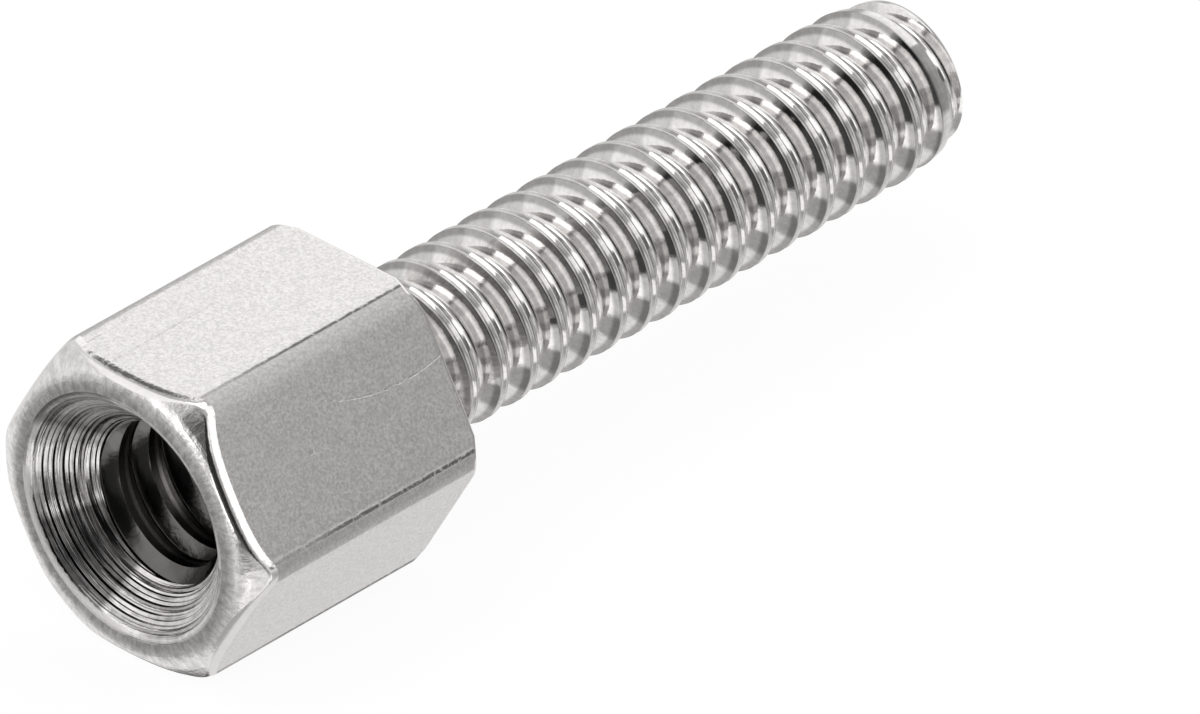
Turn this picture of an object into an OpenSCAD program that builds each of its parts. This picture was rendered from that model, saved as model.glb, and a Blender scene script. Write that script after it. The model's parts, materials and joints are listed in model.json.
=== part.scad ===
// Male-female threaded hex standoff: one turned piece of hexagonal bar.
// It lies on one flat with its axis along +X, the tapped end at -X and the
// stud at +X. The origin is under the middle of its length, on the surface
// that it lies on. Millimetres.

/* [Hexagonal body] */
// Width across the flats of the bar
across_flats = 4.76; // [4.4:0.01:6.4]
// Length of the hexagonal body
body_len = 4.76; // [4.5:0.01:25]
// Radius of the bar's drawn corners
corner_r = 0.34; // [0.1:0.01:0.4]
// Angle of both turned chamfers to the end faces, in degrees
chamfer_angle = 45; // [35:1:50]
// Depth of the front chamfer along a corner
front_chamfer = 0.36; // [0.2:0.01:0.45]
// Depth of the rear chamfer along a corner
rear_chamfer = 0.14; // [0.05:0.01:0.3]

/* [Thread form, for hole and stud] */
// Pitch of the thread
pitch = 0.635; // [0.5:0.005:0.7]
// Included angle of the thread's flanks, in degrees
thread_angle = 60; // [55:1:60]
// Radius of the full thread form: the tapped groove reaches it, and a stud that
// is smaller has its crests cut short
thread_r = 1.42; // [1.38:0.01:1.46]
// Facets in one turn of the thread
turn_facets = 24; // [16:1:30]

/* [Tapped hole] */
// Radius of the drilled hole, which the thread's crests keep
tap_drill_r = 1.18; // [1.1:0.01:1.2]
// Depth of the drilled wall below the front face
drill_depth = 3.7; // [3.4:0.01:3.9]
// Depth at which the tap's first tooth enters, still inside the countersink
tap_start = 0.5; // [0:0.01:0.5]
// Depth that the tapped groove reaches
tap_depth = 3.3; // [2.8:0.01:3.4]
// Included angle of the drill's point, in degrees
drill_point_angle = 118; // [110:1:140]
// Radius of the countersunk mouth
mouth_r = 1.93; // [1.7:0.01:2.05]
// Included angle of the countersink, in degrees
countersink_angle = 82; // [80:1:100]

/* [Stud] */
// Length of the stud from the shoulder
stud_len = 11.91; // [5:0.01:20]
// Radius over the stud's crests
stud_r = 1.355; // [1.3:0.005:1.42]
// Length of the plain shank between the shoulder and the thread
shank_len = 0.6; // [0.4:0.01:0.8]
// Length of the tapered lead at the tip
lead_len = 0.85; // [0.3:0.01:1.5]
// Radius of the tip's end face
tip_r = 1.22; // [1.05:0.01:1.3]

/* [Hidden] */
$fn = 96;
eps = 0.05; // how far one form runs into or past another
circle_r = across_flats / 2; // of the circle inside the hexagon
corner_centre_r = (circle_r - corner_r) / cos(30);
bar_r = corner_centre_r + corner_r; // over the rounded corners
front_face_r = bar_r - front_chamfer / tan(chamfer_angle);
rear_face_r = bar_r - rear_chamfer / tan(chamfer_angle);
countersink_depth = (mouth_r - tap_drill_r) / tan(countersink_angle / 2);
drill_point_len = tap_drill_r / tan(drill_point_angle / 2);
flank_run = tan(thread_angle / 2); // along the axis for each unit of depth
groove_w = pitch / 8; // across the floor of the tapped groove
crest_w = groove_w + 2 * (thread_r - stud_r) * flank_run; // across the stud's crest
root_w = pitch / 4; // across the floor between the stud's teeth
root_r = stud_r - (pitch - crest_w - root_w) / 2 / flank_run;
run_out = (stud_r - root_r) / flank_run; // of the thread into the shank
lead_slope = (stud_r - tip_r) / lead_len;
total_len = body_len + stud_len;

// Helical tooth about +Z from z0 to z1, right-handed: edge_w wide at r_far and
// spreading to its foot at r_near. It fades to its foot over the last fade turns.
module helical_tooth(r_near, r_far, edge_w, z0, z1, fade) {
    steps = ceil((z1 - z0) / pitch * turn_facets);
    foot_w = edge_w + 2 * abs(r_far - r_near) * flank_run;
    function share(i) = fade > 0 ? min(1, max(0.04, (steps - i) / (fade * turn_facets))) : 1;
    function ring(i) = let (s = share(i), r = r_near + (r_far - r_near) * s)
        [[r_near, -foot_w / 2], [r, -foot_w / 2 + s * (foot_w - edge_w) / 2],
         [r, foot_w / 2 - s * (foot_w - edge_w) / 2], [r_near, foot_w / 2]];
    points = [for (i = [0 : steps]) let (a = 360 * i / turn_facets, z = z0 + pitch * i / turn_facets)
        for (p = ring(i)) [p[0] * cos(a), p[0] * sin(a), z + p[1]]];
    sides = [for (i = [0 : steps - 1], k = [0 : 3]) let (n = (k + 1) % 4)
        [4 * i + k, 4 * i + n, 4 * (i + 1) + n, 4 * (i + 1) + k]];
    polyhedron(points, concat([[3, 2, 1, 0]], sides, [[for (k = [0 : 3]) 4 * steps + k]]));
}

// Section of the drawn bar: flats up and down along X, with round corners
module bar_section() {
    for (a = [0, 60, 120]) rotate(a) square([across_flats, corner_centre_r], center = true);
    for (a = [30 : 60 : 330]) rotate(a) translate([corner_centre_r, 0]) circle(r = corner_r);
}

// What the chamfering tool leaves of the bar, a solid of revolution
module chamfer_envelope() {
    far_r = bar_r + eps;
    far_rise = eps * tan(chamfer_angle);
    rotate_extrude() polygon([[0, 0], [front_face_r, 0], [far_r, front_chamfer + far_rise],
        [far_r, body_len - rear_chamfer - far_rise], [rear_face_r, body_len], [0, body_len]]);
}

// Drilled, countersunk and tapped blind hole
module tapped_hole() {
    rotate_extrude() polygon([[0, -eps], [mouth_r + eps * tan(countersink_angle / 2), -eps],
        [tap_drill_r, countersink_depth], [tap_drill_r, drill_depth], [0, drill_depth + drill_point_len]]);
    helical_tooth(tap_drill_r - eps, thread_r, groove_w, tap_start, tap_depth, 1.5);
}

// Turned blank of the stud: plain shank, run-out and core, left long at the tip
module stud_blank() {
    rotate_extrude() polygon([[0, -eps], [stud_r, -eps], [stud_r, shank_len],
        [root_r, shank_len + run_out], [root_r, stud_len + 2 * pitch], [0, stud_len + 2 * pitch]]);
}

// What facing and tapering the tip leave of the stud
module stud_envelope() {
    far_r = stud_r + eps;
    rotate_extrude() polygon([[0, -2 * eps], [far_r, -2 * eps],
        [far_r, stud_len - lead_len - eps / lead_slope], [tip_r, stud_len], [0, stud_len]]);
}

// Threaded stud, standing on the shoulder
module stud() {
    intersection() {
        union() {
            stud_blank();
            helical_tooth(root_r - eps, stud_r, crest_w, shank_len - pitch / 2, stud_len + pitch, 0);
        }
        stud_envelope();
    }
}

module standoff() {
    color("silver")
        translate([-total_len / 2, 0, circle_r]) rotate([0, 90, 0]) {
            difference() {
                intersection() {
                    linear_extrude(body_len) bar_section();
                    chamfer_envelope();
                }
                tapped_hole();
            }
            translate([0, 0, body_len]) stud();
        }
}

standoff();
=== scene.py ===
"""A male-female hex standoff in bright nickel plate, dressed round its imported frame.

The piece is made as its maker makes it: hexagonal bar, turned chamfers, a drilled, countersunk and
tapped hole, and a rolled thread on the stud. The axis runs along +X and the part lies on one flat.
"""

import json
import logging
import math
from collections.abc import Sequence
from dataclasses import dataclass, field
from enum import Enum

import bpy
from mathutils import Matrix, Vector

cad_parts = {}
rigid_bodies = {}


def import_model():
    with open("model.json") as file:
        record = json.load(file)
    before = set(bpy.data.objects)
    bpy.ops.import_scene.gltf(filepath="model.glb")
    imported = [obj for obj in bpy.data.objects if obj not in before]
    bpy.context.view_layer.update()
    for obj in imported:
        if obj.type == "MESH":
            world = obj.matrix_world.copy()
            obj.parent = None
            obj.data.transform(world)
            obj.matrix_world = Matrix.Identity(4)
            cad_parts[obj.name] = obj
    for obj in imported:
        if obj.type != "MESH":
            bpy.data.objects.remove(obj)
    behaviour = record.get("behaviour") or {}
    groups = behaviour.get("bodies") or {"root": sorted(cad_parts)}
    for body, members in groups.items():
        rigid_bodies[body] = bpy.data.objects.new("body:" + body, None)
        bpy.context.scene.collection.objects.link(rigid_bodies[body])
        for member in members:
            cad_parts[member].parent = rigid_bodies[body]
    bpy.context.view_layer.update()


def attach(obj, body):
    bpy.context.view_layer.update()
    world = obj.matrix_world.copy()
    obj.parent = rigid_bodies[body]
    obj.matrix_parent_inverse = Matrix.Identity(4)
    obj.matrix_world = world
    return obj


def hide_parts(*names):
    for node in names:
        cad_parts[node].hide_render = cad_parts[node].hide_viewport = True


LOG = logging.getLogger("standoff")
NODE = "standoff"
BODY = "root"
MM = 0.001
TURN = 2 * math.pi
Point = tuple[float, float]
Span = tuple[float, float]
Triple = tuple[float, float, float]
AXIS_X = (1.0, 0.0, 0.0)
SIDES = 6
# angles in degrees: between two flats, of the chamfers, and up to which an edge is shaded smooth
SIDE_TURN = 360 / SIDES
CHAMFER_ANGLE = 45.0
SMOOTH_ANGLE = 32.0
# the driving sizes, in millimetres, and what follows from them
ACROSS_FLATS = 4.76
BODY_LEN = 4.76
STUD_LEN = 11.91
CIRCLE_R = ACROSS_FLATS / 2
TOTAL_LEN = BODY_LEN + STUD_LEN


# ---------------------------------------------------------------- modelling bench


class Joining(Enum):
    """How a tool solid changes the solid that it is put to."""

    ADD = "UNION"
    CUT = "DIFFERENCE"
    KEEP_COMMON = "INTERSECT"


class Bench:
    """The hand operations that every solid here is made with, in the axis frame in millimetres.

    In the axis frame the part's axis is the X axis, and x is counted from the front face.
    """

    @staticmethod
    def clear() -> None:
        """Leave nothing selected and be in object mode."""
        if bpy.context.object is not None and bpy.context.object.mode != "OBJECT":
            bpy.ops.object.mode_set(mode="OBJECT")
        bpy.ops.object.select_all(action="DESELECT")

    @staticmethod
    def take(obj: bpy.types.Object) -> None:
        """Select one object alone and make it the active one.

        Args:
            obj: the object.
        """
        Bench.clear()
        obj.select_set(True)
        bpy.context.view_layer.objects.active = obj

    @staticmethod
    def edit(obj: bpy.types.Object, mode: str = "VERT") -> None:
        """Open one object in edit mode with all of it selected.

        Args:
            obj: the object.
            mode: what is selected, VERT, EDGE or FACE.
        """
        Bench.take(obj)
        bpy.ops.object.mode_set(mode="EDIT")
        bpy.ops.mesh.select_mode(type=mode)
        bpy.ops.mesh.select_all(action="SELECT")

    @staticmethod
    def close() -> None:
        """Leave edit mode."""
        bpy.ops.object.mode_set(mode="OBJECT")

    @staticmethod
    def outline(name: str, points: Sequence[Point]) -> bpy.types.Object:
        """Draw an open line in the plane of the axis, extruded from point to point.

        Args:
            name: the object's name.
            points: each point's place along the axis and its radius, in millimetres.

        Returns:
            The line as a mesh object.
        """
        Bench.clear()
        first_x, first_r = points[0]
        bpy.ops.mesh.primitive_plane_add(size=MM, location=(first_x * MM, 0, first_r * MM))
        obj = bpy.context.object
        obj.name = name
        bpy.ops.object.transform_apply(location=True)
        Bench.edit(obj)
        bpy.ops.mesh.merge(type="CENTER")
        for (x0, r0), (x1, r1) in zip(points, points[1:]):
            step = ((x1 - x0) * MM, 0.0, (r1 - r0) * MM)
            bpy.ops.mesh.extrude_vertices_move(TRANSFORM_OT_translate={"value": step})
        Bench.close()
        return obj

    @staticmethod
    def tidy(obj: bpy.types.Object, threshold: float = 1e-4) -> bpy.types.Object:
        """Merge doubles and point the faces outwards.

        Args:
            obj: the object.
            threshold: how close doubles lie, in millimetres.

        Returns:
            The same object.
        """
        Bench.edit(obj)
        bpy.ops.mesh.remove_doubles(threshold=threshold * MM)
        bpy.ops.mesh.normals_make_consistent(inside=False)
        Bench.close()
        return obj

    @staticmethod
    def turned(name: str, points: Sequence[Point], steps: int) -> bpy.types.Object:
        """Make a solid of revolution about the axis.

        Args:
            name: the object's name.
            points: its half section from axis to axis, in millimetres.
            steps: facets round the axis.

        Returns:
            The closed solid.
        """
        obj = Bench.outline(name, points)
        Bench.edit(obj)
        bpy.ops.mesh.spin(steps=steps, angle=TURN, center=(0, 0, 0), axis=AXIS_X)
        Bench.close()
        return Bench.tidy(obj)

    @staticmethod
    def helix(name: str, points: Sequence[Point], pitch: float, turns: int, steps: int) -> bpy.types.Object:
        """Wind a section about the axis as a right-hand helix.

        Args:
            name: the object's name.
            points: the section, in millimetres.
            pitch: how far a turn goes along the axis, in millimetres.
            turns: how many turns.
            steps: facets in a turn.

        Returns:
            The wound surface, open at both ends.
        """
        obj = Bench.outline(name, points)
        screw = obj.modifiers.new("winding", "SCREW")
        screw.axis = "X"
        screw.screw_offset = pitch * MM
        screw.iterations = turns
        screw.steps = screw.render_steps = steps
        Bench.take(obj)
        bpy.ops.object.modifier_apply(modifier=screw.name)
        return Bench.tidy(obj, 2e-4)

    @staticmethod
    def trim(obj: bpy.types.Object, x: float, keep_above: bool) -> None:
        """Cut a surface square to the axis and close the cut.

        Args:
            obj: the surface.
            x: the cut's place along the axis, in millimetres.
            keep_above: whether what lies past the cut is kept, or else what lies before it.
        """
        Bench.edit(obj)
        bpy.ops.mesh.bisect(
            plane_co=(x * MM, 0, 0),
            plane_no=AXIS_X,
            use_fill=True,
            clear_inner=keep_above,
            clear_outer=not keep_above,
            threshold=1e-8,
        )
        Bench.close()

    @staticmethod
    def dress(obj: bpy.types.Object, finish: bpy.types.Material) -> bpy.types.Object:
        """Give the whole of a solid one finish.

        Args:
            obj: the solid.
            finish: its only material.

        Returns:
            The same solid.
        """
        obj.data.materials.clear()
        obj.data.materials.append(finish)
        return obj

    @staticmethod
    def join(obj: bpy.types.Object, tool: bpy.types.Object, how: Joining) -> bpy.types.Object:
        """Put a tool solid to a solid; faces keep the finish of the solid that they come from.

        Args:
            obj: the solid that is changed.
            tool: the other solid, which is used up.
            how: add, cut or keep what is common.

        Returns:
            The changed solid.
        """
        change = obj.modifiers.new(tool.name, "BOOLEAN")
        change.operation = how.value
        change.solver = "MANIFOLD"
        change.material_mode = "TRANSFER"
        change.object = tool
        Bench.take(obj)
        bpy.ops.object.modifier_apply(modifier=change.name)
        used = tool.data
        bpy.data.objects.remove(tool)
        bpy.data.meshes.remove(used)
        return obj


def arc(centre: Point, radius: float, start: float, end: float, count: int) -> list[Point]:
    """Points of a circular arc in the section plane.

    Args:
        centre: the centre's place along the axis and its radius from it, in millimetres.
        radius: the arc's radius, in millimetres.
        start: the first point's angle from +X towards the outside, in degrees.
        end: the last point's angle, in degrees.
        count: how many steps.

    Returns:
        The points from start to end.
    """
    angles = [math.radians(start + (end - start) * i / count) for i in range(count + 1)]
    return [(centre[0] + radius * math.cos(a), centre[1] + radius * math.sin(a)) for a in angles]


# ---------------------------------------------------------------- the part


@dataclass
class ThreadForm:
    """The screw thread's form, shared by hole and stud, in millimetres."""

    pitch: float = 0.635
    full_r: float = 1.42
    flank_angle: float = 30.0

    @property
    def flank_run(self) -> float:
        """How far a flank runs along the axis for each unit of depth."""
        return math.tan(math.radians(self.flank_angle))

    @property
    def narrow(self) -> float:
        """The width of the tapped groove's floor."""
        return self.pitch / 8


@dataclass(frozen=True)
class TurnedEnd:
    """An end of the hexagonal body: its face, its 45 degree chamfer and the roundings between them."""

    chamfer: float
    crown_r: float
    edge_r: float
    inner_r: float
    rub_len: float
    crown_steps: int
    edge_steps: int
    rub_angle: float = 12.0
    support: float = 0.012

    def section(self, bar_r: float, side_r: float) -> list[Point]:
        """The outline in one plane through the axis.

        Args:
            bar_r: the radius over the bar's corners, where the chamfer's depth is measured.
            side_r: the bar's own radius in this plane.

        Returns:
            Points from the face to the bar's side, each a depth below the face and a radius.
        """
        lean = math.radians(self.rub_angle)
        rubbed_r = side_r - (self.rub_len * math.tan(lean) - self.edge_r * (1 - math.cos(lean)))
        centre_r = rubbed_r - self.edge_r
        cone_r = bar_r - self.chamfer
        start_r = cone_r - self.crown_r * math.tan(math.radians(CHAMFER_ANGLE / 2))
        rise = centre_r - start_r
        slack = self.crown_r - self.edge_r
        if rise <= 0:
            # the side lies inside the crown's start, so the face runs flat to the edge's rounding
            shares = [i / self.crown_steps for i in range(self.crown_steps + 1)]
            face = [(0.0, self.inner_r + (centre_r - self.inner_r) * (share + 1) / 2) for share in shares]
            turn, centre = 0.0, (self.edge_r, centre_r)
        else:
            sloped = rise >= slack * math.sin(math.radians(CHAMFER_ANGLE))
            turn = CHAMFER_ANGLE if sloped else math.degrees(math.asin(rise / slack))
            depth = self.crown_r - slack * math.cos(math.radians(turn))
            if sloped:
                # the square root belongs to a chamfer at 45 degrees
                depth = centre_r - cone_r + self.edge_r * math.sqrt(2)
            face = arc((self.crown_r, start_r), self.crown_r, 180, 180 - turn, self.crown_steps)
            centre = (depth, centre_r)
        edge = arc(centre, self.edge_r, 180 - turn, 90 + self.rub_angle, self.edge_steps)
        end = edge[-1][0] + self.rub_len
        return [(0.0, self.inner_r), *face[:-1], *edge, (end, side_r), (end + self.support, side_r)]


@dataclass
class HexBody:
    """The hexagonal body with its turned ends."""

    across_flats: float = ACROSS_FLATS
    length: float = BODY_LEN
    corner_r: float = 0.34
    front: TurnedEnd = TurnedEnd(
        chamfer=0.36, crown_r=0.65, edge_r=0.14, inner_r=1.99, rub_len=0.11, crown_steps=10, edge_steps=8
    )
    rear: TurnedEnd = TurnedEnd(
        chamfer=0.14, crown_r=0.08, edge_r=0.03, inner_r=2.0, rub_len=0.03, crown_steps=3, edge_steps=3
    )
    corner_steps: int = 10
    flat_steps: int = 14

    @property
    def corner_centre_r(self) -> float:
        """How far the centres of the rounded corners lie from the axis."""
        return (self.across_flats / 2 - self.corner_r) / math.cos(math.radians(SIDE_TURN / 2))

    @property
    def bar_r(self) -> float:
        """The radius over the bar's rounded corners."""
        return self.corner_centre_r + self.corner_r

    def sector(self) -> list[Point]:
        """A sixth of the bar's section, from one corner's middle to just before the next.

        Returns:
            Each point's angle in degrees and its radius.
        """
        half = self.corner_steps // 2
        half_side = SIDE_TURN / 2
        bend = [SIDE_TURN / self.corner_steps * i for i in range(half + 1)]
        corner = []
        for angle in bend:
            turn = math.radians(angle)
            rounding = Vector((math.cos(turn), math.sin(turn))) * self.corner_r
            point = rounding + Vector((self.corner_centre_r, 0))
            corner.append((math.degrees(math.atan2(point.y, point.x)), point.length))
        reach = half_side - corner[-1][0]
        flat = []
        for i in range(1, self.flat_steps):
            turn = reach * (2 * i / self.flat_steps - 1)
            flat.append((half_side + turn, self.across_flats / 2 / math.cos(math.radians(turn))))
        return corner + flat + [(SIDE_TURN - angle, r) for angle, r in reversed(corner[1:])]

    def make(self, finishes: "Finishes") -> bpy.types.Object:
        """The chamfered bar, still without its hole.

        Args:
            finishes: the materials of its drawn, turned and rubbed faces.

        Returns:
            The bar as a closed solid.
        """
        columns = [(angle + SIDE_TURN * k, r) for k in range(SIDES) for angle, r in self.sector()]
        sections = []
        for _, side_r in columns:
            near = self.front.section(self.bar_r, side_r)
            far = self.rear.section(self.bar_r, side_r)
            sections.append(near + [(self.length - x, r) for x, r in reversed(far)])
        rings = len(sections[0])
        obj = self.blank(len(columns), rings)
        for finish in (finishes.turned, finishes.rubbed, finishes.drawn):
            obj.data.materials.append(finish)
        front, rear = self.front, self.rear
        # each end's outline stops with two points on the side, so three bands of faces lie there
        side = 3
        bands = (front.crown_steps + 1, front.edge_steps + 1, side, rear.edge_steps + 1, rear.crown_steps + 1)
        worn = [k for k, width in zip((0, 1, 2, 1, 0), bands) for _ in range(width)]
        for face in obj.data.polygons:
            places = [round(obj.data.vertices[i].co.x / MM) for i in face.vertices]
            face.material_index = worn[min(places)] if max(places) > min(places) else 0
        step = TURN / len(columns)
        for vertex in obj.data.vertices:
            ring = round(vertex.co.x / MM)
            column = round(math.atan2(vertex.co.z, vertex.co.y) / step) % len(columns)
            turn = math.radians(columns[column][0])
            x, r = sections[column][ring]
            vertex.co = Vector((x, r * math.cos(turn), r * math.sin(turn))) * MM
        return Bench.tidy(obj)

    def blank(self, columns: int, rings: int) -> bpy.types.Object:
        """A cylinder with a ring at each whole millimetre, to be pressed to the body's form.

        Args:
            columns: how many points a ring has.
            rings: how many rings.

        Returns:
            The cylinder.
        """
        Bench.clear()
        bpy.ops.mesh.primitive_cylinder_add(
            vertices=columns,
            radius=MM,
            depth=(rings - 1) * MM,
            location=((rings - 1) / 2 * MM, 0, 0),
            rotation=(0, math.pi / 2, 0),
        )
        obj = bpy.context.object
        obj.name = "hex_body"
        bpy.ops.object.transform_apply(location=True, rotation=True, scale=True)
        Bench.edit(obj, "EDGE")
        bpy.ops.mesh.select_all(action="DESELECT")
        Bench.close()
        for edge in obj.data.edges:
            a, b = (obj.data.vertices[i].co for i in edge.vertices)
            edge.select = abs(a.x - b.x) > MM / 2
        bpy.ops.object.mode_set(mode="EDIT")
        bpy.ops.mesh.subdivide(number_cuts=rings - 2)
        Bench.close()
        return obj


@dataclass
class TappedHole:
    """The drilled, countersunk and tapped blind hole."""

    form: ThreadForm
    drill_r: float = 1.18
    drill_depth: float = 3.7
    drill_point_angle: float = 118.0
    tap_start: float = 0.5
    tap_depth: float = 3.3
    tooth_foot: float = 0.1
    tooth_edge: float = 0.012
    tooth_spread: float = 0.01
    mouth_r: float = 1.93
    sink_angle: float = 82.0
    lip_r: float = 0.15
    lip_steps: int = 5
    groove_count: int = 14
    ridge_h: float = 0.008
    ridge_change: float = 0.65
    ridge_beat: float = 1.7
    ridge_wander: float = 0.22
    wander_beat: float = 2.399
    entry_len: float = 0.3
    entry_width: float = 0.05
    steps: int = 96
    facets: int = 192

    def drill(self) -> bpy.types.Object:
        """The drill and countersink as one turned cutter, with the countersink's fine ridges.

        Returns:
            The cutter as a closed solid, which starts in front of the body.
        """
        half = math.radians(self.sink_angle / 2)
        sink_depth = (self.mouth_r - self.drill_r) / math.tan(half)
        slope = Vector((math.cos(half), -math.sin(half)))
        square = Vector((math.sin(half), math.cos(half)))
        lip = self.lip_r
        bend = math.radians(90) - half
        reach = lip * math.tan(bend / 2)
        entry = -self.entry_len
        points: list[Point] = [(entry, 0.0), (entry, self.mouth_r + reach + self.entry_width)]
        points.append((0.0, self.mouth_r + reach))
        points += arc((lip, self.mouth_r + reach), lip, 180, 180 + math.degrees(bend), self.lip_steps)[1:]
        start = Vector((0.0, self.mouth_r)) + slope * reach
        run = (Vector((sink_depth, self.drill_r)) - start).length
        count = self.groove_count * 2
        for i in range(1, count):
            wander = self.ridge_wander * math.sin(i * self.wander_beat)
            side = self.ridge_h if i % 2 else -self.ridge_h
            height = side * (1 + self.ridge_change * math.sin(i * self.ridge_beat))
            place = start + slope * (run * (i / count) + wander * run / count) + square * height
            points.append((place.x, place.y))
        points += [(sink_depth, self.drill_r), (self.drill_depth, self.drill_r)]
        point_len = self.drill_r / math.tan(math.radians(self.drill_point_angle / 2))
        points.append((self.drill_depth + point_len, 0.0))
        return Bench.turned("drilled_form", points, self.facets)

    def tap(self) -> bpy.types.Object:
        """The tap's tooth as a closed helix of whole turns, which stops short of the tap's depth.

        Returns:
            The tooth as a closed solid.
        """
        near, far = self.drill_r - self.tooth_foot, self.form.full_r
        top = self.form.narrow / 2
        foot = top + (far - near) * self.form.flank_run
        x, edge, spread = self.tap_start, self.tooth_edge, self.tooth_spread
        points = [(x - foot, near), (x - top - spread, far - edge), (x - top + edge, far)]
        points += [(x + top - edge, far), (x + top + spread, far - edge), (x + foot, near), (x - foot, near)]
        turns = math.floor((self.tap_depth - self.tap_start) / self.form.pitch)
        obj = Bench.helix("tapped_form", points, self.form.pitch, turns, self.steps)
        Bench.edit(obj)
        bpy.ops.mesh.select_all(action="DESELECT")
        bpy.ops.mesh.select_non_manifold()
        bpy.ops.mesh.edge_face_add()
        bpy.ops.mesh.select_all(action="SELECT")
        bpy.ops.mesh.normals_make_consistent(inside=False)
        Bench.close()
        return obj


@dataclass
class Stud:
    """The threaded stud that stands on the shoulder."""

    form: ThreadForm
    length: float = STUD_LEN
    crest_r: float = 1.355
    shank_len: float = 0.6
    lead_len: float = 0.85
    tip_r: float = 1.22
    tip_edge_r: float = 0.14
    seam_depth: float = 0.02
    lobe_share: float = 0.36
    lobe_inset: float = 0.8
    lobe_arc: Span = (130.0, 20.0)
    flank_depths: Triple = (0.03, 0.2, 0.97)
    root_fillet: float = 0.1
    overlap: float = 0.05
    lap: float = 0.01
    spare: float = 0.3
    bend_steps: int = 6
    steps: int = 96
    facets: int = 192

    @property
    def crest_at(self) -> float:
        """How far past the shoulder a crest crosses the plane of the section."""
        return self.shank_len - self.form.pitch / 4

    @property
    def crest_w(self) -> float:
        """The width of the crest, which is cut short of the full form."""
        return self.form.narrow + 2 * (self.form.full_r - self.crest_r) * self.form.flank_run

    @property
    def root_r(self) -> float:
        """The radius of the floor between the teeth."""
        wide = self.form.pitch - self.crest_w - self.form.pitch / 4
        return self.crest_r - wide / 2 / self.form.flank_run

    def section(self, centre: float) -> list[Point]:
        """One pitch of the rolled thread, floor to floor, with the fine seam along its crest.

        Args:
            centre: the crest's place along the axis, in millimetres.

        Returns:
            Points from one floor's middle to the next.
        """
        half, run = self.crest_w / 2, self.form.flank_run
        root, crest, fillet = self.root_r, self.crest_r, self.root_fillet
        lobe = half * self.lobe_share
        ridge = (half - lobe * self.lobe_inset, crest - lobe)
        right = [(0.0, crest - self.seam_depth), *arc(ridge, lobe, *self.lobe_arc, self.bend_steps)]
        hollow_x = self.form.pitch * 3 / 8 + fillet * run
        curve = arc((hollow_x, root + fillet), fillet, 180 + self.form.flank_angle, 270, self.bend_steps)
        for share in self.flank_depths:
            depth = crest - curve[0][1]
            right.append((half + depth * share * run, crest - depth * share))
        right += curve
        right.append((self.form.pitch / 2, root))
        left = [(-x, r) for x, r in reversed(right[1:])]
        return [(centre + x, r) for x, r in left + right]

    def make(self, shoulder: float) -> bpy.types.Object:
        """The finished stud.

        Args:
            shoulder: the shoulder's place along the axis, in millimetres.

        Returns:
            The stud as a closed solid, which starts a little inside the body.
        """
        pitch = self.form.pitch
        end = shoulder + self.length
        first = shoulder + self.crest_at
        turns = math.ceil((end - first) / pitch) + 2
        obj = Bench.helix("stud", self.section(first - pitch), pitch, turns, self.steps)
        Bench.trim(obj, shoulder + self.shank_len - self.lap, True)
        Bench.trim(obj, end + self.spare, False)
        Bench.tidy(obj)
        run_out = (self.crest_r - self.root_r) * self.form.flank_run
        shank_end = shoulder + self.shank_len
        shank = [
            (shoulder - self.overlap, 0.0),
            (shoulder - self.overlap, self.crest_r),
            (shank_end, self.crest_r),
            (shank_end + run_out, self.root_r),
            (shank_end + run_out + self.overlap * 2, self.root_r - self.overlap),
            (shank_end + run_out + self.overlap * 2, 0.0),
        ]
        Bench.join(obj, Bench.turned("shank", shank, self.facets), Joining.ADD)
        slope = (self.crest_r - self.tip_r) / self.lead_len
        lean = math.atan(slope)
        edge = (end - self.tip_edge_r, self.tip_r + self.tip_edge_r * (slope - 1 / math.cos(lean)))
        limit = [
            (shoulder - self.spare, 0.0),
            (shoulder - self.spare, self.crest_r + self.spare),
            (end - self.lead_len - self.spare / slope, self.crest_r + self.spare),
            *arc(edge, self.tip_edge_r, 90 - math.degrees(lean), 0, self.bend_steps),
            (end, 0.0),
        ]
        Bench.join(obj, Bench.turned("stud_limit", limit, self.facets), Joining.KEEP_COMMON)
        return obj


@dataclass
class Standoff:
    """The whole part as one solid, laid in its place."""

    form: ThreadForm = field(default_factory=ThreadForm)

    def make(self, finishes: "Finishes") -> bpy.types.Object:
        """The part, built in the axis frame and then laid in its place.

        Args:
            finishes: the materials of all its faces.

        Returns:
            The part as one closed solid.
        """
        body = HexBody()
        hole = TappedHole(self.form)
        stud = Stud(self.form)
        obj = body.make(finishes)
        LOG.info("hex body: %d faces", len(obj.data.polygons))
        Bench.join(obj, Bench.dress(hole.drill(), finishes.sunk), Joining.CUT)
        Bench.join(obj, Bench.dress(hole.tap(), finishes.tapped), Joining.CUT)
        LOG.info("with its hole: %d faces", len(obj.data.polygons))
        Bench.join(obj, Bench.dress(stud.make(body.length), finishes.rolled), Joining.ADD)
        obj.name = "turned_standoff"
        obj.data.name = "turned_standoff"
        LOG.info("with its stud: %d faces", len(obj.data.polygons))
        self.lay(obj, body, stud)
        return obj

    @staticmethod
    def lay(obj: bpy.types.Object, body: HexBody, stud: Stud) -> None:
        """Move the solid from the axis frame to its place, on its lower flat.

        Args:
            obj: the solid.
            body: its hexagonal body.
            stud: its stud.
        """
        total = body.length + stud.length
        shift = (-total / 2 * MM, 0, body.across_flats / 2 * MM)
        Bench.edit(obj)
        bpy.ops.transform.translate(value=shift)
        Bench.close()


# ---------------------------------------------------------------- shader wiring


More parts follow.
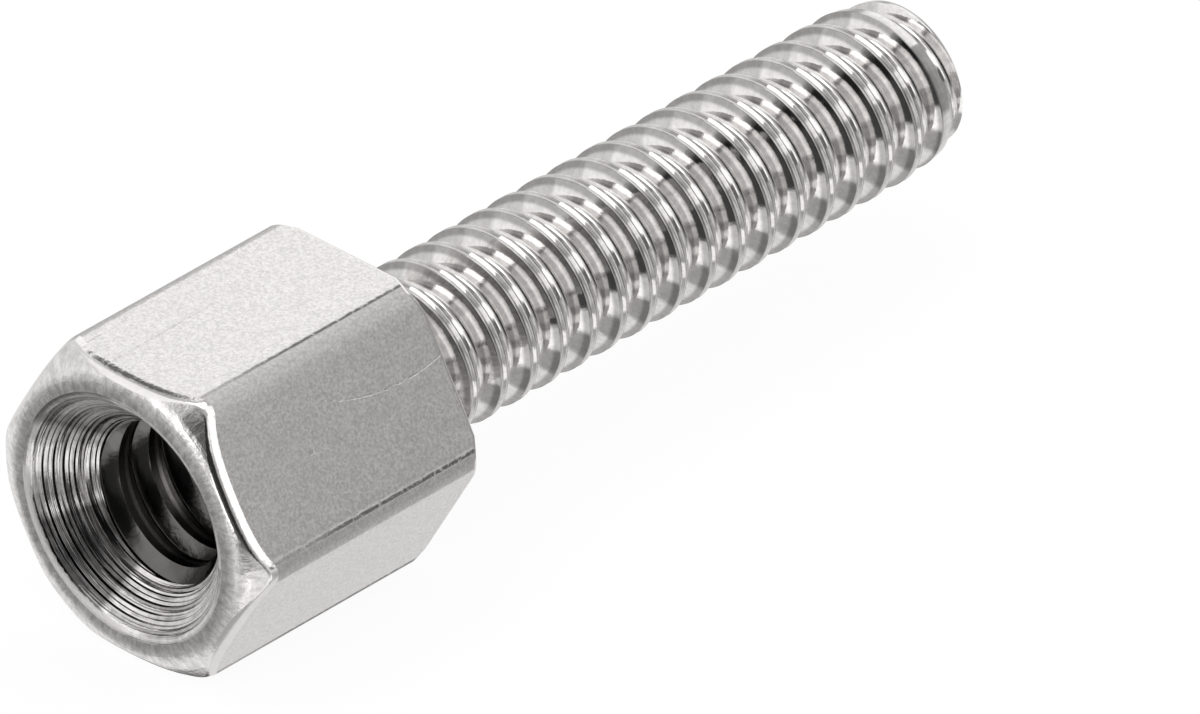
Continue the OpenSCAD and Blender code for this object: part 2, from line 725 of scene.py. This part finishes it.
class Wire:
    """A shader socket that takes part in Python arithmetic; each operation adds a Math node."""

    def __init__(self, board: "Board", socket: bpy.types.NodeSocket) -> None:
        """Keep the board that the socket is on."""
        self.board = board
        self.socket = socket

    def _math(self, operation: str, *values: "Wire | float") -> "Wire":
        """Add one Math node on these values."""
        return self.board.add("ShaderNodeMath", {"operation": operation}, dict(enumerate(values)))

    def __add__(self, other: "Wire | float") -> "Wire":
        """Sum."""
        return self._math("ADD", self, other)

    def __radd__(self, other: float) -> "Wire":
        """Sum with a number on the left."""
        return self._math("ADD", other, self)

    def __sub__(self, other: "Wire | float") -> "Wire":
        """Difference."""
        return self._math("SUBTRACT", self, other)

    def __rsub__(self, other: float) -> "Wire":
        """Difference from a number on the left."""
        return self._math("SUBTRACT", other, self)

    def __mul__(self, other: "Wire | float") -> "Wire":
        """Product."""
        return self._math("MULTIPLY", self, other)

    def __rmul__(self, other: float) -> "Wire":
        """Product with a number on the left."""
        return self._math("MULTIPLY", other, self)

    def sin(self) -> "Wire":
        """Sine of the value."""
        return self._math("SINE", self)

    def abs(self) -> "Wire":
        """Value without its sign."""
        return self._math("ABSOLUTE", self)

    def sqrt(self) -> "Wire":
        """Square root."""
        return self._math("SQRT", self)

    def greater(self, other: "Wire | float") -> "Wire":
        """The larger of two values."""
        return self._math("MAXIMUM", self, other)

    def angle_to(self, other: "Wire") -> "Wire":
        """Arc tangent of this value over the other, in radians."""
        return self._math("ARCTAN2", self, other)

    def wrapped(self, span: float) -> "Wire":
        """The rest of the value over a span."""
        return self._math("FLOORED_MODULO", self, span)

    def ramp(self, low: float, high: float) -> "Wire":
        """A smooth step from 0 at low to 1 at high."""
        values = {"Value": self, "From Min": low, "From Max": high}
        return self.board.add("ShaderNodeMapRange", {"interpolation_type": "SMOOTHSTEP"}, values)

    def window(self, low: float, high: float, soft: float) -> "Wire":
        """One between low and high, fading to 0 over soft outside them."""
        return self.ramp(low - soft, low) * (1 - self.ramp(high, high + soft))


@dataclass(frozen=True)
class Spot:
    """A point of the part in the axis frame, in millimetres."""

    vector: Wire
    along: Wire
    across: Wire
    up: Wire
    radius: Wire
    angle: Wire

    def across_thread(self, pitch: float, start: float) -> Wire:
        """How far the point lies along the axis from the nearest turn of a right-hand helix.

        Args:
            pitch: the helix's pitch, in millimetres.
            start: where it crosses the plane that angles are measured from.

        Returns:
            The distance in millimetres, negative towards the front.
        """
        # whole turns keep the sum above zero, and the half turn puts the helix in the middle
        wound = self.along - start - self.angle * (pitch / TURN)
        return (wound + pitch * 8.5).wrapped(pitch) - pitch / 2


class Board:
    """The node tree of one material or world."""

    def __init__(self, owner: bpy.types.Material | bpy.types.World) -> None:
        """Empty the owner's tree and keep it.

        Args:
            owner: the material or world.
        """
        owner.use_nodes = True
        self.tree = owner.node_tree
        self.tree.nodes.clear()

    def add(
        self,
        kind: str,
        settings: dict[str, object] | None = None,
        values: dict[str | int, object] | None = None,
        out: str | int = 0,
    ) -> Wire:
        """Add one node.

        Args:
            kind: the node's type.
            settings: its properties, which are set first.
            values: what its input sockets take, a Wire or a plain value each.
            out: the output that is wanted.

        Returns:
            That output.
        """
        node = self.tree.nodes.new(kind)
        for name, value in (settings or {}).items():
            setattr(node, name, value)
        for name, value in (values or {}).items():
            if isinstance(value, Wire):
                self.tree.links.new(value.socket, node.inputs[name])
            else:
                node.inputs[name].default_value = value
        return Wire(self, node.outputs[out])

    def place(self) -> Wire:
        """Object coordinates, in metres."""
        return self.add("ShaderNodeTexCoord", out="Object")

    def spot(self) -> Spot:
        """Where a point of the part lies.

        Returns:
            The point, in the axis frame.
        """
        values = {0: self.place(), 1: (1 / MM,) * 3, 2: (TOTAL_LEN / 2, 0, -CIRCLE_R)}
        vector = self.add("ShaderNodeVectorMath", {"operation": "MULTIPLY_ADD"}, values)
        along, across, up = self.parts(vector)
        radius = (across * across + up * up).sqrt()
        return Spot(vector, along, across, up, radius, up.angle_to(across))

    def join(self, x: Wire | float, y: Wire | float, z: Wire | float) -> Wire:
        """A vector of three values."""
        return self.add("ShaderNodeCombineXYZ", values={0: x, 1: y, 2: z})

    def tint(self, shade: Wire, colour: Triple) -> Wire:
        """A colour multiplied by a value."""
        values = {0: colour, "Scale": shade}
        return self.add("ShaderNodeVectorMath", {"operation": "SCALE"}, values)

    def parts(self, vector: Wire) -> tuple[Wire, Wire, Wire]:
        """Take a vector apart.

        Args:
            vector: the vector.

        Returns:
            Its three components.
        """
        first = self.add("ShaderNodeSeparateXYZ", values={0: vector})
        outputs = first.socket.node.outputs
        return first, Wire(self, outputs[1]), Wire(self, outputs[2])

    def noise(self, vector: Wire, scale: float, detail: float, roughness: float) -> Wire:
        """Fractal noise between 0 and 1."""
        values = {"Vector": vector, "Scale": scale, "Detail": detail, "Roughness": roughness}
        return self.add("ShaderNodeTexNoise", {"noise_dimensions": "3D"}, values)

    def glow(self, strength: Wire | float, kind: str = "ShaderNodeEmission") -> Wire:
        """A shader that gives white light."""
        return self.add(kind, values={"Color": (1, 1, 1, 1), "Strength": strength})

    def finish(self, shader: Wire, kind: str = "ShaderNodeOutputMaterial") -> None:
        """Connect the last shader to the output."""
        node = self.tree.nodes.new(kind)
        self.tree.links.new(shader.socket, node.inputs["Surface"])


# ---------------------------------------------------------------- studio


def direction(azimuth: float, elevation: float) -> Vector:
    """The way to an azimuth and elevation in degrees."""
    az, el = math.radians(azimuth), math.radians(elevation)
    return Vector((math.cos(el) * math.cos(az), math.cos(el) * math.sin(az), math.sin(el)))


@dataclass(frozen=True)
class Panel:
    """A round patch of the light tent, brighter or darker than the cloth, all angles in degrees."""

    azimuth: float
    elevation: float
    level: float
    inner: float
    outer: float

    @property
    def towards(self) -> Vector:
        """The way to its middle."""
        return direction(self.azimuth, self.elevation)


@dataclass(frozen=True)
class Lamp:
    """A soft round lamp, its size in metres and its power in watts."""

    name: str
    way: Triple
    size: float
    power: float


@dataclass
class Studio:
    """Floor, light tent, lamps and camera, in metres, but the lens and its sensor in millimetres."""

    aim: Triple = (0.000471, -0.001217, 0.001608)
    azimuth: float = -136.675
    elevation: float = 32.512
    roll: float = 0.011
    distance: float = 0.495
    lens: float = 1014.66
    sensor: float = 36.0
    near_clip: float = 0.01
    far_clip: float = 5.0
    diffuse: float = 0.65
    floor_size: float = 0.6
    floor_grey: float = 0.9
    floor_glow: float = 1.07
    floor_share: float = 0.85
    lamp_distance: float = 0.24
    soft: tuple[Lamp, ...] = (
        Lamp("key", (0.62, -0.57, 0.53), 0.11, 0.03),
        Lamp("top", (-0.25, 0.25, 0.93), 0.16, 0.05),
    )
    tent_r: float = 0.25
    cloth: float = 0.45
    # a later panel lies over the earlier ones
    panels: tuple[Panel, ...] = (
        Panel(15, -51, 0.8, 35, 60),
        Panel(126, -68, 0.9, 14, 22),
        Panel(105, 15, 0.78, 32, 50),
        Panel(82, -38, 0.85, 16, 34),
        Panel(60, -62, 0.12, 10, 18),
        Panel(43, 32, 1.16, 17, 32),
        Panel(138, 46, 1.05, 20, 32),
        Panel(-120, 0, 0.34, 20, 28),
        Panel(-80, 0, 0.75, 14, 20),
        Panel(-32, -4, 0.36, 16, 24),
        Panel(-148, 12, 0.03, 32, 39),
        Panel(152, 17, 1.1, 15, 19),
        Panel(-160, -14, 0.12, 14, 24),
        Panel(-110, 68, 0.5, 8, 14),
        Panel(-50, 11, 0.15, 7, 11),
        Panel(-60, 60, 1.2, 9, 14),
        Panel(-98, 38, 1.1, 8, 13),
        Panel(-68, 38, 1.3, 12, 18),
        Panel(-48, 36, 1.5, 9, 15),
        Panel(-73, 18, 1.4, 8, 12),
        Panel(-74, 3, 0.04, 2, 5),
        Panel(-86, -33, 1.2, 8, 12),
        Panel(-118, -42, 1.15, 12, 18),
        Panel(-133, -32, 0.85, 10, 18),
        Panel(177, -34, 0.85, 6, 11),
        Panel(176, -53, 0.42, 8, 14),
        Panel(-158, -38, 1.3, 8, 13),
        Panel(166, 5, 2.0, 7, 10),
        Panel(-178, -10, 2.0, 7, 10),
        Panel(138, -31, 0.36, 8, 16),
        Panel(59, 48, 0.08, 4, 7),
        Panel(10, 38, 1.2, 15, 19),
        Panel(0, 89, 2.2, 18, 20.5),
    )

    def camera(self) -> None:
        """The camera, with a long lens, which looks down on the front end and its flats."""
        back = direction(self.azimuth, self.elevation)
        data = bpy.data.cameras.new("camera")
        data.lens = self.lens
        data.sensor_width = self.sensor
        data.clip_start, data.clip_end = self.near_clip, self.far_clip
        obj = bpy.data.objects.new("camera", data)
        bpy.context.scene.collection.objects.link(obj)
        turn = (-back).to_track_quat("-Z", "Y").to_matrix() @ Matrix.Rotation(math.radians(self.roll), 3, "Z")
        obj.matrix_world = Matrix.Translation(Vector(self.aim) + back * self.distance) @ turn.to_4x4()
        bpy.context.scene.camera = obj

    @staticmethod
    def seen(board: Board) -> Wire:
        """Pick out the rays that the camera sees.

        Args:
            board: the node tree that asks.

        Returns:
            One for a ray that comes straight or by way of metal or glass, and 0 for the rest.
        """
        rays = ("Is Camera Ray", "Is Glossy Ray", "Is Transmission Ray")
        straight, gloss, through = (board.add("ShaderNodeLightPath", out=name) for name in rays)
        return straight.greater(gloss).greater(through)

    def world(self) -> None:
        """A white surround, and a plain level for diffuse light."""
        world = bpy.data.worlds.new("surround")
        bpy.context.scene.world = world
        board = Board(world)
        level = self.seen(board) * (1 - self.diffuse) + self.diffuse
        board.finish(board.glow(level, "ShaderNodeBackground"), "ShaderNodeOutputWorld")

    def floor(self) -> None:
        """The plain pale floor, which shows the part's shadow faintly."""
        Bench.clear()
        bpy.ops.mesh.primitive_plane_add(size=self.floor_size, location=(0, 0, 0))
        obj = bpy.context.object
        obj.name = "floor"
        paint = bpy.data.materials.new("floor")
        board = Board(paint)
        grey = (*(self.floor_grey,) * 3, 1.0)
        cloth = board.add("ShaderNodeBsdfDiffuse", values={"Color": grey})
        white = board.glow(self.floor_glow)
        straight = board.add("ShaderNodeLightPath", out="Is Camera Ray")
        share = straight * self.floor_share
        shader = board.add("ShaderNodeMixShader", values={0: share, 1: cloth, 2: white})
        board.finish(shader)
        obj.data.materials.append(paint)
        obj.visible_glossy = False

    def tent(self) -> None:
        """The light tent: pale cloth with brighter and darker panels, seen in reflections only."""
        Bench.clear()
        bpy.ops.mesh.primitive_ico_sphere_add(subdivisions=5, radius=self.tent_r)
        obj = bpy.context.object
        obj.name = "light_tent"
        cloth = bpy.data.materials.new("tent_cloth")
        board = Board(cloth)
        place = board.place()
        way = board.add("ShaderNodeVectorMath", {"operation": "NORMALIZE"}, {0: place})
        level: Wire | float = self.cloth
        for panel in self.panels:
            ways = {0: way, 1: panel.towards}
            close = board.add("ShaderNodeVectorMath", {"operation": "DOT_PRODUCT"}, ways, out=1)
            mask = close.ramp(math.cos(math.radians(panel.outer)), math.cos(math.radians(panel.inner)))
            level = mask * panel.level + (1 - mask) * level
        board.finish(board.glow(level))
        cloth.cycles.emission_sampling = "NONE"
        obj.data.materials.append(cloth)
        for ray in ("camera", "diffuse", "transmission", "volume_scatter", "shadow"):
            setattr(obj, f"visible_{ray}", False)

    def lamps(self) -> None:
        """The soft lamps, which reflections leave out."""
        for lamp in self.soft:
            data = bpy.data.lights.new(lamp.name, "AREA")
            data.shape, data.size = "DISK", lamp.size
            data.energy = lamp.power
            obj = bpy.data.objects.new(lamp.name, data)
            bpy.context.scene.collection.objects.link(obj)
            towards = Vector(lamp.way).normalized()
            obj.location = towards * self.lamp_distance
            obj.rotation_euler = (-towards).to_track_quat("-Z", "Y").to_euler()
            obj.visible_glossy = False

    def make(self) -> None:
        """Set the whole studio up."""
        bpy.context.scene.view_settings.view_transform = "Standard"
        self.camera()
        self.world()
        self.floor()
        self.tent()
        self.lamps()


# ---------------------------------------------------------------- finishes


@dataclass(frozen=True)
class Nickel:
    """Bright nickel plate, in what all its finishes share."""

    colour: Triple = (0.79, 0.772, 0.762)

    @staticmethod
    def begin(name: str) -> tuple[bpy.types.Material, Board, Spot]:
        """Start a finish.

        Args:
            name: the material's name.

        Returns:
            The material, its node tree and the place of a point that wears it.
        """
        paint = bpy.data.materials.new(name)
        board = Board(paint)
        return paint, board, board.spot()

    def coat(self, board: Board, shade: Wire, rough: Wire | float, height: Wire, depth: float) -> Wire:
        """The plate's shader.

        Args:
            board: the material's node tree.
            shade: what the plate's colour is multiplied by.
            rough: how far its gloss is spread.
            height: the fine relief, from 0 to 1.
            depth: what a height of 1 stands for, in millimetres.

        Returns:
            The shader.
        """
        colour = board.tint(shade, self.colour)
        relief = {"Strength": 1.0, "Distance": depth * MM, "Height": height}
        normal = board.add("ShaderNodeBump", values=relief)
        values = {"Base Color": colour, "Metallic": 1.0, "Roughness": rough, "Normal": normal}
        return board.add("ShaderNodeBsdfPrincipled", values=values)


@dataclass(frozen=True)
class Sector:
    """A stretch round the axis, in degrees, that fades out over soft radians at each end."""

    low: float
    high: float
    soft: float

    def mask(self, spot: Spot) -> Wire:
        """One in the sector and 0 outside it."""
        return spot.angle.window(math.radians(self.low), math.radians(self.high), self.soft)


@dataclass(frozen=True)
class Band:
    """A stripe that follows the thread, in shares of the pitch from the middle of the crest."""

    low: float
    high: float
    soft: float

    def mask(self, across: Wire, pitch: float) -> Wire:
        """One on the stripe and 0 off it."""
        return across.window(pitch * self.low, pitch * self.high, pitch * self.soft)


@dataclass(frozen=True)
class Mark:
    """A scratch or a dent on one flat, bowed like a shallow arch.

    Its place is along the axis from the front, and across the flat from its middle.
    """

    flat: float
    middle: float
    half_length: float
    across: float
    bow: float
    half_width: float
    broken: bool
    flat_shell: Span = (2.2, 2.3)

    def mask(self, spot: Spot, breaks: Wire) -> Wire:
        """Where the mark lies.

        Args:
            spot: the point's place.
            breaks: 0 where a broken mark is interrupted.

        Returns:
            One on the mark and 0 off it.
        """
        turn = math.radians(self.flat)
        outward = spot.across * -math.sin(turn) + spot.up * math.cos(turn)
        sideways = spot.across * -math.cos(turn) + spot.up * -math.sin(turn)
        past = spot.along - self.middle
        off = sideways - self.across + past * past * self.bow
        line = 1 - off.abs().ramp(self.half_width * 0.5, self.half_width * 1.5)
        mask = line * outward.ramp(*self.flat_shell)
        mask = mask * past.window(-self.half_length, self.half_length, self.half_width)
        return mask * breaks if self.broken else mask


@dataclass(frozen=True)
class DrawnFlats(Nickel):
    """The bar's drawn flats: satin, with a fine grain and a few marks."""

    rough: float = 0.3
    corner_half: float = 0.173
    marks: tuple[Mark, ...] = (
        Mark(flat=0, middle=1.41, half_length=1.08, across=-0.448, bow=0.0, half_width=0.012, broken=True),
        Mark(flat=0, middle=0.55, half_length=0.14, across=-1.056, bow=0.0, half_width=0.014, broken=True),
        Mark(flat=60, middle=3.95, half_length=1.62, across=-0.25, bow=0.133, half_width=0.014, broken=True),
        Mark(flat=60, middle=1.836, half_length=0.03, across=0.0, bow=0.0, half_width=0.03, broken=False),
    )
    # the dark jagged seam at each corner: a rough seam in relief, whose darkness is a painted reflection of a
    # dark gap, stronger towards the rear
    seam: Triple = (-0.012, 0.016, 0.02)
    seam_painted_dark: float = 0.68
    # the rough band past each corner: its roughness is real, its darkening is painted shade that tones down
    # the band's reflection
    torn: Triple = (0.0, 0.28, 0.06)
    torn_painted_dark: float = 0.24
    mark_dark: float = 0.24
    relief: float = 0.002

    def past_corner(self, spot: Spot) -> Wire:
        """Measure round the bar from its corners.

        Args:
            spot: the point's place.

        Returns:
            How far it lies past the near side of its corner's rounding, in millimetres.
        """
        sixth = TURN / SIDES
        turn = (spot.angle + (TURN + sixth / 2)).wrapped(sixth) - sixth / 2
        return turn * spot.radius + self.corner_half

    def make(self) -> bpy.types.Material:
        """Make the material.

        Returns:
            The material.
        """
        paint, board, spot = self.begin("drawn_flats")
        grain = board.noise(spot.vector, 20.0, 3.0, 0.8)
        swell = board.noise(spot.vector, 2.2, 2.0, 0.5)
        ragged = board.noise(spot.vector, 12.0, 3.0, 0.7)
        past = self.past_corner(spot) + (ragged - 0.5) * 0.05
        # painted reflection: a dark jagged line at each corner's rounding, set into the relief as a rough
        # seam
        seam = past.window(*self.seam) * ragged.ramp(0.3, 0.5)
        seam = seam * (0.3 + spot.along.ramp(0.8, 2.2) * 0.7)
        torn = past.window(*self.torn)
        marked: Wire | float = 0.0
        for mark in self.marks:
            marked = mark.mask(spot, ragged.ramp(0.4, 0.55)).greater(marked)
        shade = 0.76 + grain.ramp(0.33, 0.67) * 0.31 + swell * 0.03
        # painted reflection and painted shade: the corner seams and the rough bands past them are darkened
        shade = shade * (1 - seam * self.seam_painted_dark) * (1 - torn * self.torn_painted_dark)
        shade = shade * (1 - marked * self.mark_dark)
        height = grain * 0.8 + swell * 1.2 + ragged * torn * 3.0 - seam * 3.0 - marked * 1.0
        rough = self.rough - 0.05 + grain * 0.1 + torn * 0.2
        board.finish(self.coat(board, shade, rough, height, self.relief))
        return paint


@dataclass(frozen=True)
class TurnedFace(Nickel):
    """The chamfers and end faces, with the turning tool's fine rings."""

    rough: float = 0.2
    # the radii over which the face's painted shade lightens towards its edge
    edge: Span = (2.0, 2.3)
    relief: float = 0.004

    def make(self) -> bpy.types.Material:
        """Make the material.

        Returns:
            The material.
        """
        paint, board, spot = self.begin("turned_face")
        streaks = board.noise(board.join(spot.angle * 9.0, spot.radius * 1.5, spot.along), 3.0, 3.0, 0.7)
        blotch = board.noise(spot.vector, 6.0, 3.0, 0.6)
        rings = board.noise(board.join(spot.radius + spot.along, spot.angle * 0.1, 0.0), 14.0, 2.0, 0.6)
        # painted shade: the face is darker towards the mouth and lighter towards its edge
        outward = spot.radius.ramp(*self.edge)
        shade = 0.55 + outward * 0.28 + streaks.ramp(0.35, 0.65) * 0.2 + blotch.ramp(0.3, 0.7) * 0.28
        height = rings * 0.8 + blotch * 2.2 + streaks * 0.3
        board.finish(self.coat(board, shade, self.rough + streaks * 0.1, height, self.relief))
        return paint


@dataclass(frozen=True)
class RubbedEdge(Nickel):
    """The rounded edges, rubbed bright."""

    rough: float = 0.12
    relief: float = 0.004

    def make(self) -> bpy.types.Material:
        """Make the material.

        Returns:
            The material.
        """
        paint, board, spot = self.begin("rubbed_edge")
        dents = board.noise(spot.vector, 9.0, 3.0, 0.6)
        shade = 0.95 + dents * 0.2
        board.finish(self.coat(board, shade, self.rough, dents, self.relief))
        return paint


@dataclass(frozen=True)
class Countersunk(Nickel):
    """The countersink, scored by its tool, and the drilled wall, darkened as painted shade, with painted
    highlights along the edges of its lands.

    Painted dark reflections make the countersink darker in two sectors, and a painted highlight lies
    along its rim in one sector as a pale, rough bead.
    """

    hole: TappedHole = field(default_factory=lambda: TappedHole(ThreadForm()))
    score_pitch: float = 0.02
    wall_from: Span = (0.84, 0.92)
    # painted highlight: a bright line along each edge of the lands, as distances past the groove in
    # millimetres
    land_highlight: Triple = (-0.02, 0.03, 0.02)
    # painted dark reflections: two sectors of the countersink made darker, with the share of darkening for
    # each
    dark: tuple[Sector, Sector] = (Sector(-72, -28, 0.12), Sector(32, 80, 0.15))
    dark_share: tuple[float, float] = (0.78, 0.6)
    # painted highlight: a pale, rough bead along the rim in one sector
    bead_sector: Sector = Sector(-85, -5, 0.2)
    rim: Span = (1.885, 1.905)
    rough: float = 0.12
    relief: float = 0.002

    def make(self) -> bpy.types.Material:
        """Make the material.

        Returns:
            The material.
        """
        paint, board, spot = self.begin("countersunk")
        wander = board.noise(spot.vector, 8.0, 3.0, 0.6)
        rings = (spot.radius * (TURN / self.score_pitch) + wander * 4.0).sin()
        form = self.hole.form
        drilled = spot.along.ramp(*self.wall_from)
        scored = board.noise(board.join(spot.radius - spot.along, spot.angle * 0.16, 0.0), 11.0, 1.5, 0.6)
        groove = form.narrow / 2 + (form.full_r - self.hole.drill_r) * form.flank_run
        past_groove = spot.across_thread(form.pitch, self.hole.tap_start).abs() - groove
        # painted shade darkens the drilled wall, and a painted highlight brightens the edges of its lands
        land_shade_and_highlight = 0.4 + past_groove.window(*self.land_highlight) * 0.8
        cone = 0.48 + scored.ramp(0.34, 0.52) * 0.4 + wander.ramp(0.3, 0.7) * 0.22
        # painted reflection: the countersink darker in two sectors round the axis
        painted_dim = self.dark[0].mask(spot) * self.dark_share[0]
        painted_dim = painted_dim + self.dark[1].mask(spot) * self.dark_share[1]
        # painted highlight: a pale, rough bead along the rim in one sector, at the radii given
        rim = spot.radius + (wander - 0.5) * 0.05
        painted_bead = rim.ramp(*self.rim) * self.bead_sector.mask(spot)
        shade = cone * (1 - painted_dim) * (1 - drilled) + land_shade_and_highlight * drilled
        shade = shade * (1 - painted_bead) + painted_bead
        rough = self.rough + drilled * 0.1 + painted_bead * 0.4
        board.finish(self.coat(board, shade, rough, rings * 0.3 + wander, self.relief))
        return paint


@dataclass(frozen=True)
class TappedThread(Nickel):
    """The tapped groove, which little light reaches, so its colour is made near black as painted shade."""

    # painted shade: the plate's colour made near black for the deep groove
    colour: Triple = (0.16, 0.155, 0.15)
    rough: float = 0.16
    relief: float = 0.004

    def make(self) -> bpy.types.Material:
        """Make the material.

        Returns:
            The material.
        """
        paint, board, spot = self.begin("tapped_thread")
        wander = board.noise(spot.vector, 8.0, 3.0, 0.6)
        board.finish(self.coat(board, 0.8 + wander * 0.2, self.rough, wander, self.relief))
        return paint


@dataclass(frozen=True)
class RolledThread(Nickel):
    """The stud's rolled thread, polished by its rolls, with a seam along its crest darkened as painted shade.

    Painted shade also darkens a band at the foot of each flank that faces the body, the lower part of
    those flanks, and the flanks that face the tip in one sector round the axis.
    """

    shoulder: float = BODY_LEN
    stud: Stud = field(default_factory=lambda: Stud(ThreadForm()))
    # where the thread's painted shade fades out before the tip, in millimetres
    unrolled: Span = (0.55, 0.3)
    # painted shade: a dark band at the foot of each flank that faces the body
    foot: Band = Band(-0.43, -0.37, 0.05)
    foot_painted_shade: float = 0.42
    # painted shade: the lower part of each flank that faces the body
    low_flank: Band = Band(-0.4, -0.3, 0.12)
    flank_painted_shade: float = 0.12
    lee: Band = Band(0.35, 0.41, 0.04)
    # the crest's seam is a real groove; its darkening is painted shade
    seam: Span = (0.2, 0.5)
    seam_painted_dark: float = 0.45
    # painted shade: the flanks that face the tip, darker in one sector round the axis
    shade_sector: Sector = Sector(94, 116, 0.1)
    sector_painted_shade: float = 0.4
    rough: float = 0.04
    relief: float = 0.0013

    def make(self) -> bpy.types.Material:
        """Make the material.

        Returns:
            The material.
        """
        paint, board, spot = self.begin("rolled_thread")
        mottle = board.noise(spot.vector, 6.0, 3.0, 0.6)
        stain = board.noise(spot.vector, 9.0, 3.0, 0.7)
        pitch = self.stud.form.pitch
        across = spot.across_thread(pitch, self.shoulder + self.stud.crest_at)
        off = across.abs()
        half = self.stud.crest_w / 2
        tip = self.shoulder + self.stud.length
        # the thread's painted shade fades out over the lead
        rolled = 1 - spot.along.ramp(tip - self.unrolled[0], tip - self.unrolled[1])
        # painted shade: a dark band at the foot of each flank that faces the body
        foot = self.foot.mask(across, pitch)
        # painted shade: the lower part of each flank that faces the body
        low_flank = self.low_flank.mask(across, pitch)
        lee = self.lee.mask(across, pitch)
        # painted shade: the crest's seam darkened
        seam = 1 - off.ramp(half * self.seam[0], half * self.seam[1])
        # painted shade: the flanks that face the tip, darker in one sector round the axis
        tail_shade = across.window(half, pitch * 0.3, 0.02)
        tail_shade = tail_shade * self.shade_sector.mask(spot)
        shade = (1 - rolled * seam * self.seam_painted_dark) * (1 - rolled * foot * self.foot_painted_shade)
        shade = shade * (1 - rolled * low_flank * self.flank_painted_shade)
        shade = shade * (1 - tail_shade * self.sector_painted_shade)
        shade = shade * (0.86 + stain.ramp(0.35, 0.65) * 0.14)
        rough = self.rough + mottle * 0.05 + lee * 0.12
        board.finish(self.coat(board, shade, rough, mottle, self.relief))
        return paint


@dataclass
class Finishes:
    """The plate's finishes, one for each way that a face was made."""

    drawn: bpy.types.Material = field(default_factory=lambda: DrawnFlats().make())
    turned: bpy.types.Material = field(default_factory=lambda: TurnedFace().make())
    rubbed: bpy.types.Material = field(default_factory=lambda: RubbedEdge().make())
    sunk: bpy.types.Material = field(default_factory=lambda: Countersunk().make())
    tapped: bpy.types.Material = field(default_factory=lambda: TappedThread().make())
    rolled: bpy.types.Material = field(default_factory=lambda: RolledThread().make())


def main() -> None:
    """Build the part, its finishes and its studio."""
    logging.basicConfig(level=logging.INFO, format="%(message)s")
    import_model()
    part = Standoff().make(Finishes())
    Bench.take(part)
    bpy.ops.object.shade_smooth_by_angle(angle=math.radians(SMOOTH_ANGLE))
    Bench.clear()
    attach(part, BODY)
    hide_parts(NODE)
    LOG.info("%s: rides on %s, in place of %s", part.name, BODY, NODE)
    Studio().make()


if __name__ == "__main__":
    main()
